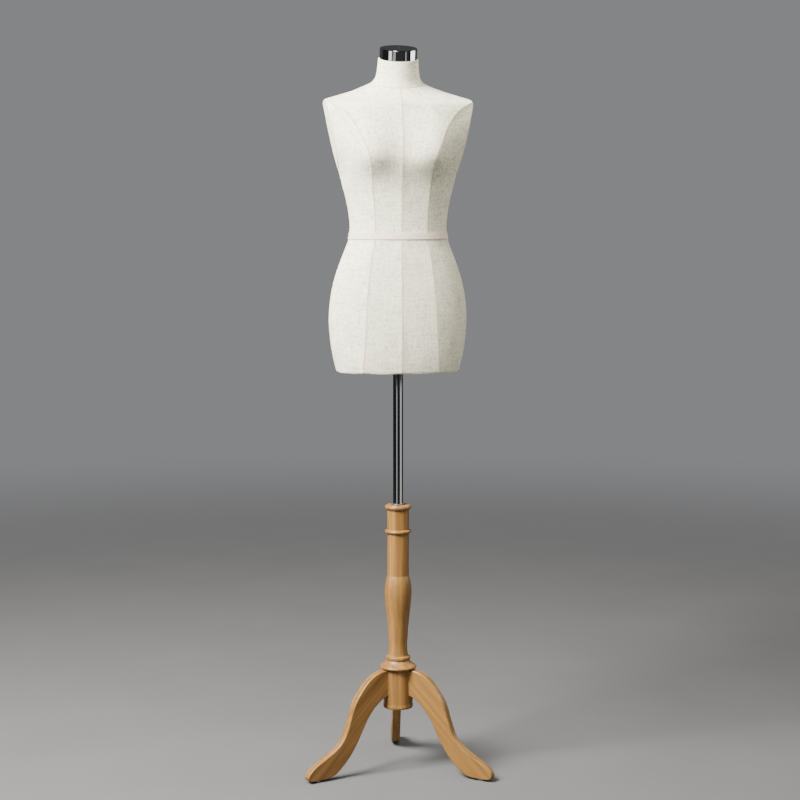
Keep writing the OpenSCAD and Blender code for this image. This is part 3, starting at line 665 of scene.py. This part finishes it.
def neck_piece():
    """The collar: one strip round the neck, joined at the centre back, turned over under the cap."""
    rows = rows_for(NECKLINE_Z, NECK_TOP_Z, 4)
    z, t, at, total = cloth_grid(rows, "centre_back", "all_round", 96)
    edge = np.minimum(at, total - at)
    p = skin_at(z, t)
    low, high = z - NECKLINE_Z, NECK_TOP_Z - z
    depth = np.maximum(roll(edge), np.maximum(roll(low), roll(high, 1.2)))
    wave = np.sin(2 * np.pi * at / NECK_PITCH + 1.7 * wobble(p, 25, 40))
    pucker = wave * np.exp(-low / NECK_REACH)
    slack = wobble(p, 30, 41) * np.clip(low / 15, 0, 1)
    depth = depth + NECK_PUCKER * pucker * np.clip(low / 0.8, 0, 1) - NECK_SLACK * slack
    seam = 0.5 * np.exp(-(np.minimum(edge, low) / 0.8) ** 2) + 0.3 * np.exp(-(low / 4) ** 2)
    depth = np.clip(depth, -0.5, OUTER_MOST)
    inner = np.maximum(INNER_LEAST, depth + THINNEST)
    cloth_piece("neck_cover", 1, z, t, at, total, depth, inner, seam, 21)


TAPE_W = (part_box("waist_tape")[1].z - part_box("waist_tape")[0].z) / MM
# Depths of the tape's outer and inner face; less than nothing is outside the cover
TAPE_OUT, TAPE_IN = -1.75, -0.8
# The tape's edge radius, how far its stitches draw it in, and its ripple: depth and pitch
TAPE_ROLL_R = 0.6
STITCH_DRAW = 0.22
RIPPLE, RIPPLE_PITCH = 0.10, 6.3
# The tape's stitches: distance in from its edges, pitch, length and radius of the thread
STITCH_IN, STITCH_PITCH, STITCH_LENGTH, STITCH_R = 1.4, 3.3, 2.4, 0.32
STITCH_RINGS, STITCH_SIDES = 5, 6


def tape_piece():
    """The waist tape, with rounded edges, drawn in a little along its two rows of stitches."""
    half = TAPE_W / 2
    steps = np.array([0, 0.12, 0.3, 0.55, 0.9, 1.4, 1.8, 2.3, 3.2, 4.6])
    rows = WAIST_Z + np.concatenate([-half + steps, [0], (half - steps)[::-1]])
    z, t, at, total = cloth_grid(rows, "centre_back", "all_round", 150)
    low = half - np.abs(z - WAIST_Z)
    p = skin_at(z, t)
    stitched = np.exp(-((low - STITCH_IN) / 0.5) ** 2)
    depth = TAPE_OUT + roll(low, TAPE_ROLL_R) + STITCH_DRAW * stitched
    ripple = np.sin(2 * np.pi * at / RIPPLE_PITCH + wobble(p, 20, 50))
    depth = depth + RIPPLE * ripple - 0.08 * wobble(p, 25, 51)
    inner = np.full_like(depth, TAPE_IN)
    cloth_piece("waist_tape", 1, z, t, at, total, np.minimum(depth, TAPE_IN - 0.2), inner, 0.35 * stitched,
                33, tape_cloth)


def stitches(name, z):
    """A row of short thread stitches, sunk at their ends, round the tape at height z."""
    t = np.linspace(-90, 270, 1441)
    p = skin_at(z, t) - outward(z, t) * (TAPE_OUT + 0.3)
    run = np.concatenate([[0], np.cumsum(np.linalg.norm(np.diff(p, axis=0), axis=1))])
    count = int(run[-1] // STITCH_PITCH)
    up = np.array([0, 0, 1.0])
    verts, faces = [], []
    for k in range(count):
        mid = (k + 0.5) * run[-1] / count
        base = len(verts)
        for u in np.linspace(-1, 1, STITCH_RINGS):
            at = mid + u * STITCH_LENGTH / 2
            centre = np.array([np.interp(at, run, p[:, i]) for i in range(3)])
            angle = np.interp(at, run, t)
            out = outward(z, angle)
            thick = STITCH_R * math.sqrt(max(0.0, 1 - 0.96 * u * u))
            sink = out * 0.25 * u * u
            verts += [centre - sink + (out * math.cos(q) + up * math.sin(q)) * thick
                      for q in np.arange(STITCH_SIDES) * 2 * math.pi / STITCH_SIDES]
        last = base + (STITCH_RINGS - 1) * STITCH_SIDES
        faces += grid_faces(STITCH_RINGS, STITCH_SIDES, base, closed=True)
        faces.append(tuple(range(base + STITCH_SIDES - 1, base - 1, -1)))
        faces.append(tuple(range(last, last + STITCH_SIDES)))
    new_object(name, to_frame(verts), faces, "form", thread_cotton)


# Arm linen: depth under the cover's surface at which its outline is taken, heights of its two faces
# above the cut, the least that the outer one keeps, its edge radius and its swelling to the middle
ARM_DEPTH = 1.1
ARM_OUTER, ARM_INNER, ARM_LEAST = 1.5, 0.05, 0.15
ARM_ROLL_R = 1.4
ARM_SWELL = 0.5


def arm_piece(name, side):
    """Linen over the arm cut: it covers the edges of the two halves of the shell all round."""
    rows = [z for z in np.arange(1500.0, 1705.0, 0.5) if side_line(z, 1, ARM_DEPTH) > 0.4]
    lo, hi = rows[0], rows[-1]
    u = np.array([0, 0.003, 0.009, 0.02, 0.04, *np.linspace(0.07, 0.93, 18), 0.96, 0.98, 0.991, 0.997, 1])
    levels = lo + (hi - lo) * u
    points, edge = [], []
    for z in levels:
        front, back = [layer(z, side_line(z, face, ARM_DEPTH), ARM_DEPTH) for face in (1, -1)]
        points.append(front + (back - front) * u[:, None])
        span = np.linalg.norm(back - front)
        gap = np.minimum(u, 1 - u) * span
        edge.append(np.minimum(gap, max(0.0, min(z - lo, hi - z))))
    p, edge = np.array(points), np.array(edge)
    down = p[..., 2] - PLATE_TOP_Z
    flat = np.stack([PLATE_TOP_X + down * math.tan(PLATE_SLANT), p[..., 1], p[..., 2]], axis=-1)
    out = np.array([math.cos(PLATE_SLANT), 0, -math.sin(PLATE_SLANT)])
    lift = ARM_OUTER - roll(edge, ARM_ROLL_R) + ARM_SWELL * smooth(edge / 30) + 0.12 * wobble(flat, 30, 60)
    lift = np.maximum(lift, ARM_LEAST)
    inner = np.full_like(lift, ARM_INNER)
    both = np.concatenate([(flat + out * d[..., None]).reshape(-1, 3) for d in (lift, inner)])
    both[:, 0] *= side
    faces = slab_faces(*edge.shape)
    if side > 0:
        faces = [f[::-1] for f in faces]
    piece = new_object(name, to_frame(both), faces, "form", board_linen)
    cloth = np.stack([flat[..., 1], down / math.cos(PLATE_SLANT)], axis=-1).reshape(-1, 2) * MM + 3 * side
    set_uv(piece.data, np.concatenate([cloth, cloth]))
    seam = 0.5 * np.exp(-(edge / 1.0) ** 2).ravel()
    set_value(piece.data, "seam", np.concatenate([seam, seam]))


# Bottom linen: pleats round its rim and their height, gap round the socket, how far its rim lies
# above the hem and under the cover's surface
PLEATS, PLEAT_H = 46, 0.25
SOCKET_GAP = 0.3
RIM_UP, RIM_DEPTH = 0.6, 2.9


def bottom_piece():
    """Linen stretched over the base board, gathered in small pleats at its outer edge."""
    low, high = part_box("bottom_cover")
    flange_low, flange_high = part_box("socket_flange")
    hole = (flange_high.x - flange_low.x) / 2 / MM + SOCKET_GAP
    turns = np.linspace(0, 360, 240, endpoint=False)
    rim = layer(HEM_Z + RIM_UP, turns, RIM_DEPTH)[:, :2]
    rings = np.array([0, 0.01, 0.03, 0.08, 0.2, 0.4, 0.6, 0.74, 0.84, 0.91, 0.96, 0.985, 1])
    directions = rim / np.linalg.norm(rim, axis=1, keepdims=True)
    inner_ring = directions * hole
    flat = inner_ring[None] + (rim - inner_ring)[None] * rings[:, None, None]
    pleat = np.sin(np.radians(turns) * PLEATS + 1.5 * np.sin(np.radians(turns) * 7))
    drop = PLEAT_H * pleat[None] * smooth((rings - 0.7) / 0.25)[:, None]
    edge = np.minimum(rings, 1 - rings)[:, None] * 100 * np.ones_like(drop)
    z_top = high.z / MM - 0.05
    z_low = low.z / MM + 0.3 + roll(edge, 0.5) * 0.8 - drop * 0.5
    outer = np.concatenate([flat, z_low[..., None]], axis=-1)
    upper = np.concatenate([flat, np.full_like(z_low, z_top)[..., None]], axis=-1)
    both = np.concatenate([outer.reshape(-1, 3), upper.reshape(-1, 3)])
    faces = [f[::-1] for f in slab_faces(len(rings), len(turns), closed=True)]
    piece = new_object("bottom_cover_cloth", to_frame(both), faces, "form", linen)
    cloth = flat.reshape(-1, 2) * MM
    set_uv(piece.data, np.concatenate([cloth, cloth]))
    set_value(piece.data, "seam", np.zeros(len(both)))
    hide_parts("bottom_cover")


neck_piece()
tape_piece()
stitches("waist_stitches_upper", WAIST_Z + TAPE_W / 2 - STITCH_IN)
stitches("waist_stitches_lower", WAIST_Z - TAPE_W / 2 + STITCH_IN)
arm_piece("arm_linen_left", 1)
arm_piece("arm_linen_right", -1)
bottom_piece()


# ---------- legs ----------

LEG_W = 22
# How far out from the axis the root of a leg starts
LEG_ROOT_R = 35.5
# Radius of a leg's rounded-over edges, and the width of the flat ring inside them
LEG_ROUND = 2.6
LEG_RING = 0.7
# Height of the glide under a toe
GLIDE_H = 5
# Side outline of a leg: distance out from the axis, height
LEG_TOP_LINE = [
    (30, 259.5), (50, 259), (69, 254), (91, 240), (112, 217), (131, 189), (143, 158), (153, 127),
    (165, 101), (184, 80), (214, 60), (245, 43), (262, 29), (269, 17), (266, 8), (256, GLIDE_H),
]
LEG_UNDER_LINE = [
    (218, GLIDE_H), (201, 8.5), (184, 17), (163, 36), (144, 58), (126, 86), (110, 115),
    (92, 147), (71, 172), (48, 189), (30, 195),
]


def curve(points, steps):
    """Catmull-Rom curve through a list of points."""
    p = np.array(points, float)
    out = []
    for i in range(len(p) - 1):
        p0, p1, p2, p3 = p[max(i - 1, 0)], p[i], p[i + 1], p[min(i + 2, len(p) - 1)]
        for k in range(steps):
            q = k / steps
            out.append(0.5 * (2 * p1 + (p2 - p0) * q + (2 * p0 - 5 * p1 + 4 * p2 - p3) * q * q
                              + (3 * p1 - p0 - 3 * p2 + p3) * q * q * q))
    return np.array(out + [p[-1]])


def leg_piece(name, turn):
    """A sawn and rounded-over leg, its root let into the hub."""
    line = np.concatenate([curve(LEG_TOP_LINE, 6), curve(LEG_UNDER_LINE, 6)])
    inside = line[:, 0] > LEG_ROOT_R
    first, last = np.flatnonzero(inside)[[0, -1]]
    start, end = line[first].copy(), line[last].copy()
    start[0] = end[0] = LEG_ROOT_R
    line = np.concatenate([[start], line[first:last + 1], [end]])
    tangent = np.gradient(line, axis=0)
    tangent /= np.linalg.norm(tangent, axis=1, keepdims=True)
    inward = np.stack([tangent[:, 1], -tangent[:, 0]], axis=1)
    inward[[0, -1], 0] = 0
    half = LEG_W / 2
    angles = np.radians([0, 18, 36, 54, 72, 90])
    profile = [(LEG_ROUND * (1 - math.cos(a)), half - LEG_ROUND * (1 - math.sin(a))) for a in angles]
    profile.append((LEG_ROUND + LEG_RING, half))
    rings = [(inset, -y) for inset, y in profile[::-1]] + profile
    verts = []
    for inset, y in rings:
        moved = line + inward * inset
        verts += [(x, y, z) for x, z in moved]
    count = len(line)
    faces = grid_faces(len(rings), count, closed=True)
    faces.append(tuple(range(count - 1, -1, -1)))
    faces.append(tuple((len(rings) - 1) * count + k for k in range(count)))
    a = STAND_TURN + math.radians(turn - 90)
    v = np.array(verts)
    placed = np.stack([v[:, 0] * math.cos(a) - v[:, 1] * math.sin(a),
                       v[:, 0] * math.sin(a) + v[:, 1] * math.cos(a), v[:, 2]], axis=1)
    piece = new_object(name + "_wood", to_frame(placed), faces, "stand", beech_legs[name])
    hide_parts(name)


for leg, leg_turn in LEG_TURNS.items():
    leg_piece(leg, leg_turn)


# ---------- camera, floor and light ----------

# Fitted to the photo: place round the form's axis, in degrees and metres, and lens in millimetres
CAMERA_AZIMUTH = math.radians(-6.5)
CAMERA_AWAY = 4.6385
CAMERA_HEIGHT = 1.412
CAMERA_PITCH = math.radians(5.71)
CAMERA_LENS = 83.25
CAMERA_YAW = math.radians(0.06)

camera = bpy.data.objects.new("camera", bpy.data.cameras.new("camera"))
camera.data.lens = CAMERA_LENS
camera.data.sensor_width = 36
camera.location = AXIS + Vector((math.sin(CAMERA_AZIMUTH) * CAMERA_AWAY,
                                 -math.cos(CAMERA_AZIMUTH) * CAMERA_AWAY, CAMERA_HEIGHT))
camera.rotation_euler = (math.pi / 2 - CAMERA_PITCH, 0, CAMERA_AZIMUTH - CAMERA_YAW)
bpy.context.scene.collection.objects.link(camera)
bpy.context.scene.camera = camera

BACKDROP = (0.235, 0.238, 0.245, 1)
# The floor's radius in metres, and how far from the axis it starts and ends to fade into the backdrop
FLOOR_R, FLOOR_SIDES = 40, 64
FADE_FROM, FADE_TO = 1.5, 6.5
floor_mesh = bpy.data.meshes.new("floor")
floor_mesh.from_pydata([(FLOOR_R * math.cos(a), FLOOR_R * math.sin(a), 0)
                        for a in np.arange(FLOOR_SIDES) * 2 * math.pi / FLOOR_SIDES],
                       [], [tuple(range(FLOOR_SIDES))])
floor = bpy.data.objects.new("floor", floor_mesh)
bpy.context.scene.collection.objects.link(floor)
paper = Nodes("floor_paper")
paper_where = paper.add("ShaderNodeTexCoord").outputs["Object"]
away = paper.add("ShaderNodeVectorMath", {0: paper_where}, operation="LENGTH").outputs["Value"]
far = paper.add("ShaderNodeMapRange", {"Value": away, "From Min": FADE_FROM, "From Max": FADE_TO},
                interpolation_type="SMOOTHSTEP").outputs[0]
rays = paper.add("ShaderNodeLightPath")
paper_colour = paper.ramp(paper.noise(paper_where, 3, 4), (0.3, grey(0.12)), (0.7, grey(0.128)))
paper_colour = paper.mix(rays.outputs["Is Glossy Ray"], paper_colour, grey(0.06))
paper.finish(Base_Color=paper_colour, Roughness=0.9, Specular_IOR_Level=0.1)
fog_colour = paper.mix(rays.outputs["Is Glossy Ray"], BACKDROP, grey(0.015))
fog = paper.add("ShaderNodeEmission", {"Color": fog_colour})
blend = paper.add("ShaderNodeMixShader", {0: far, 1: paper.shader, 2: fog})
paper.tree.links.new(blend.outputs[0], paper.tree.nodes["Material Output"].inputs[0])
floor_mesh.materials.append(paper.material)


def soft_box(name, azimuth, height, away, size, power, colour=(1, 1, 1), aim=1.3, diffuse=True, gloss=True):
    """A soft box at an azimuth from the front (90 is the form's left), aimed at the form."""
    lamp = bpy.data.lights.new(name, "AREA")
    lamp.shape = "RECTANGLE"
    lamp.size, lamp.size_y = size
    lamp.energy = power
    lamp.color = colour
    box = bpy.data.objects.new(name, lamp)
    a = math.radians(azimuth)
    box.location = AXIS + Vector((math.sin(a) * away, -math.cos(a) * away, height))
    aim_at = AXIS + Vector((0, 0, aim))
    box.rotation_euler = (aim_at - box.location).to_track_quat("-Z", "Y").to_euler()
    box.visible_camera = False
    box.visible_diffuse = diffuse
    box.visible_glossy = gloss
    bpy.context.scene.collection.objects.link(box)


soft_box("key", -60, 3.0, 2.3, (1.5, 1.6), 590, (1, 0.99, 0.965))
soft_box("top", 20, 3.3, 1.5, (1.4, 1.0), 42, (1, 0.985, 0.95), aim=1.65, gloss=False)
soft_box("side", 90, 2.3, 2.5, (1.0, 1.4), 20, (1, 0.92, 0.80), gloss=False)
soft_box("back", 165, 2.6, 3.2, (1.0, 1.6), 18, gloss=False)
# Upright panels that only the polished metal shows, as bright bars with dark between them
soft_box("bar_left", -54.7, 2.1, 3.0, (1.55, 2.6), 20, aim=2.1, diffuse=False)
soft_box("bar_right", 36.5, 2.1, 3.2, (2.7, 2.6), 13, (1, 0.97, 0.9), aim=2.1, diffuse=False)
soft_box("bar_side", 97, 2.1, 2.8, (1.95, 2.6), 48, aim=2.1, diffuse=False)
soft_box("low_bar_left", -35, 0.36, 3.0, (1.1, 0.7), 1.1, aim=0.36, diffuse=False)
soft_box("low_bar_right", 63, 0.36, 3.0, (2.6, 0.7), 2.8, (1, 0.97, 0.9), aim=0.36, diffuse=False)
soft_box("bar_top", -25, 4.2, 1.6, (1.6, 1.0), 18, diffuse=False)

# The camera sees the backdrop, polished metal a dark room that is paler behind, the rest a soft light
SKY_LIGHT = (0.228, 0.216, 0.206, 1)
GLOSS_FRONT, GLOSS_BEHIND = 0.010, 0.060
world = bpy.data.worlds.new("studio")
bpy.context.scene.world = world
world.use_nodes = True
sky = world.node_tree
sky.nodes.clear()
sky_out = sky.nodes.new("ShaderNodeOutputWorld")
sky_light = sky.nodes.new("ShaderNodeBackground")
sky_light.inputs[0].default_value = SKY_LIGHT
sky_gloss = sky.nodes.new("ShaderNodeBackground")
sky_way = sky.nodes.new("ShaderNodeSeparateXYZ")
sky.links.new(sky.nodes.new("ShaderNodeTexCoord").outputs["Generated"], sky_way.inputs[0])
sky_behind = sky.nodes.new("ShaderNodeMapRange")
sky_behind.inputs["From Min"].default_value = 0.3
sky_behind.inputs["From Max"].default_value = 0.7
sky_behind.inputs["To Min"].default_value = GLOSS_FRONT
sky_behind.inputs["To Max"].default_value = GLOSS_BEHIND
sky.links.new(sky_way.outputs[1], sky_behind.inputs["Value"])
sky.links.new(sky_behind.outputs[0], sky_gloss.inputs[0])
sky_seen = sky.nodes.new("ShaderNodeBackground")
sky_seen.inputs[0].default_value = BACKDROP
sky_rays = sky.nodes.new("ShaderNodeLightPath")
for_gloss, for_camera = sky.nodes.new("ShaderNodeMixShader"), sky.nodes.new("ShaderNodeMixShader")
sky.links.new(sky_rays.outputs["Is Glossy Ray"], for_gloss.inputs[0])
sky.links.new(sky_light.outputs[0], for_gloss.inputs[1])
sky.links.new(sky_gloss.outputs[0], for_gloss.inputs[2])
sky.links.new(sky_rays.outputs["Is Camera Ray"], for_camera.inputs[0])
sky.links.new(for_gloss.outputs[0], for_camera.inputs[1])
sky.links.new(sky_seen.outputs[0], for_camera.inputs[2])
sky.links.new(for_camera.outputs[0], sky_out.inputs[0])
